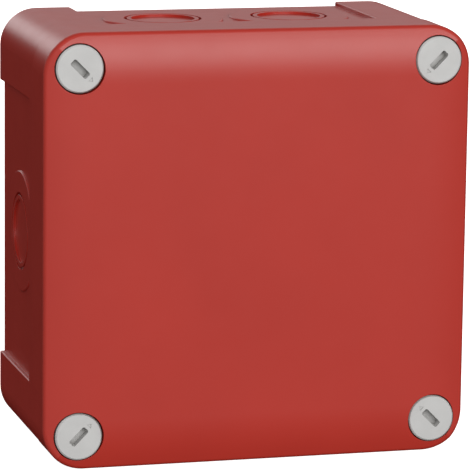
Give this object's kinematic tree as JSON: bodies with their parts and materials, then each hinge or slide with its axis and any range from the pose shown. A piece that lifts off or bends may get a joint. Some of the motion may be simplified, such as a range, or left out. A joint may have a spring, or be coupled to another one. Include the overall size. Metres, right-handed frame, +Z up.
{
  "type": "fire alarm junction box",
  "caption": "Square surface-mounted wiring box with a crowned quarter-turn cover, stepped cable knock-outs and a terminal block inside.",
  "frame": {"origin": "centre of the flat back face, on the wall", "axes": "+X right seen from the front, +Y into the wall, +Z up"},
  "size_m": [0.105, 0.055, 0.105],
  "materials": {
    "red_housing": "satin moulded, slightly textured",
    "grey_screw": "satin moulded",
    "soft_seal": "matt",
    "ceramic": null,
    "brass": "machined",
    "zinc_steel": "zinc plated"
  },
  "bodies": {
    "housing": {"base": "red_housing", "terminal_block": "ceramic", "block_fixings": "zinc_steel", "terminal_barrel_1": "brass", "terminal_barrel_2": "brass", "terminal_barrel_3": "brass", "terminal_barrel_4": "brass", "terminal_barrel_5": "brass"},
    "cover": {"cover": "red_housing", "cover_gasket": "soft_seal"},
    "turn_screw_top_left": {"cover_screw_top_left": "grey_screw", "screw_seal_top_left": "soft_seal"},
    "turn_screw_top_right": {"cover_screw_top_right": "grey_screw", "screw_seal_top_right": "soft_seal"},
    "turn_screw_bottom_left": {"cover_screw_bottom_left": "grey_screw", "screw_seal_bottom_left": "soft_seal"},
    "turn_screw_bottom_right": {"cover_screw_bottom_right": "grey_screw", "screw_seal_bottom_right": "soft_seal"},
    "clamp_upper_1": {"clamp_screw_upper_1": "zinc_steel"},
    "clamp_lower_1": {"clamp_screw_lower_1": "zinc_steel"},
    "clamp_upper_2": {"clamp_screw_upper_2": "zinc_steel"},
    "clamp_lower_2": {"clamp_screw_lower_2": "zinc_steel"},
    "clamp_upper_3": {"clamp_screw_upper_3": "zinc_steel"},
    "clamp_lower_3": {"clamp_screw_lower_3": "zinc_steel"},
    "clamp_upper_4": {"clamp_screw_upper_4": "zinc_steel"},
    "clamp_lower_4": {"clamp_screw_lower_4": "zinc_steel"},
    "clamp_upper_5": {"clamp_screw_upper_5": "zinc_steel"},
    "clamp_lower_5": {"clamp_screw_lower_5": "zinc_steel"}
  },
  "joints": [
    {"name": "cover_lift", "type": "slide", "parent": "housing", "child": "cover", "axis": [0, -1, 0], "range_m": [0, 0.06]},
    {"name": "cover_screw_turn_top_left", "type": "hinge", "parent": "cover", "child": "turn_screw_top_left", "pos_m": [-0.0441, -0.0544, 0.0441], "axis": [0, 1, 0], "range_deg": [0, 90]},
    {"name": "cover_screw_turn_top_right", "type": "hinge", "parent": "cover", "child": "turn_screw_top_right", "pos_m": [0.0441, -0.0544, 0.0441], "axis": [0, 1, 0], "range_deg": [0, 90]},
    {"name": "cover_screw_turn_bottom_left", "type": "hinge", "parent": "cover", "child": "turn_screw_bottom_left", "pos_m": [-0.0441, -0.0544, -0.0441], "axis": [0, 1, 0], "range_deg": [0, 90]},
    {"name": "cover_screw_turn_bottom_right", "type": "hinge", "parent": "cover", "child": "turn_screw_bottom_right", "pos_m": [0.0441, -0.0544, -0.0441], "axis": [0, 1, 0], "range_deg": [0, 90]},
    {"name": "clamp_turn_upper_1", "type": "hinge", "parent": "housing", "child": "clamp_upper_1", "pos_m": [-0.019, -0.0174, 0.004], "axis": [0, 1, 0], "range_deg": [-360, 720]},
    {"name": "clamp_turn_lower_1", "type": "hinge", "parent": "housing", "child": "clamp_lower_1", "pos_m": [-0.019, -0.0174, -0.004], "axis": [0, 1, 0], "range_deg": [-360, 720]},
    {"name": "clamp_turn_upper_2", "type": "hinge", "parent": "housing", "child": "clamp_upper_2", "pos_m": [-0.0095, -0.0174, 0.004], "axis": [0, 1, 0], "range_deg": [-360, 720]},
    {"name": "clamp_turn_lower_2", "type": "hinge", "parent": "housing", "child": "clamp_lower_2", "pos_m": [-0.0095, -0.0174, -0.004], "axis": [0, 1, 0], "range_deg": [-360, 720]},
    {"name": "clamp_turn_upper_3", "type": "hinge", "parent": "housing", "child": "clamp_upper_3", "pos_m": [0, -0.0174, 0.004], "axis": [0, 1, 0], "range_deg": [-360, 720]},
    {"name": "clamp_turn_lower_3", "type": "hinge", "parent": "housing", "child": "clamp_lower_3", "pos_m": [0, -0.0174, -0.004], "axis": [0, 1, 0], "range_deg": [-360, 720]},
    {"name": "clamp_turn_upper_4", "type": "hinge", "parent": "housing", "child": "clamp_upper_4", "pos_m": [0.0095, -0.0174, 0.004], "axis": [0, 1, 0], "range_deg": [-360, 720]},
    {"name": "clamp_turn_lower_4", "type": "hinge", "parent": "housing", "child": "clamp_lower_4", "pos_m": [0.0095, -0.0174, -0.004], "axis": [0, 1, 0], "range_deg": [-360, 720]},
    {"name": "clamp_turn_upper_5", "type": "hinge", "parent": "housing", "child": "clamp_upper_5", "pos_m": [0.019, -0.0174, 0.004], "axis": [0, 1, 0], "range_deg": [-360, 720]},
    {"name": "clamp_turn_lower_5", "type": "hinge", "parent": "housing", "child": "clamp_lower_5", "pos_m": [0.019, -0.0174, -0.004], "axis": [0, 1, 0], "range_deg": [-360, 720]}
  ]
}
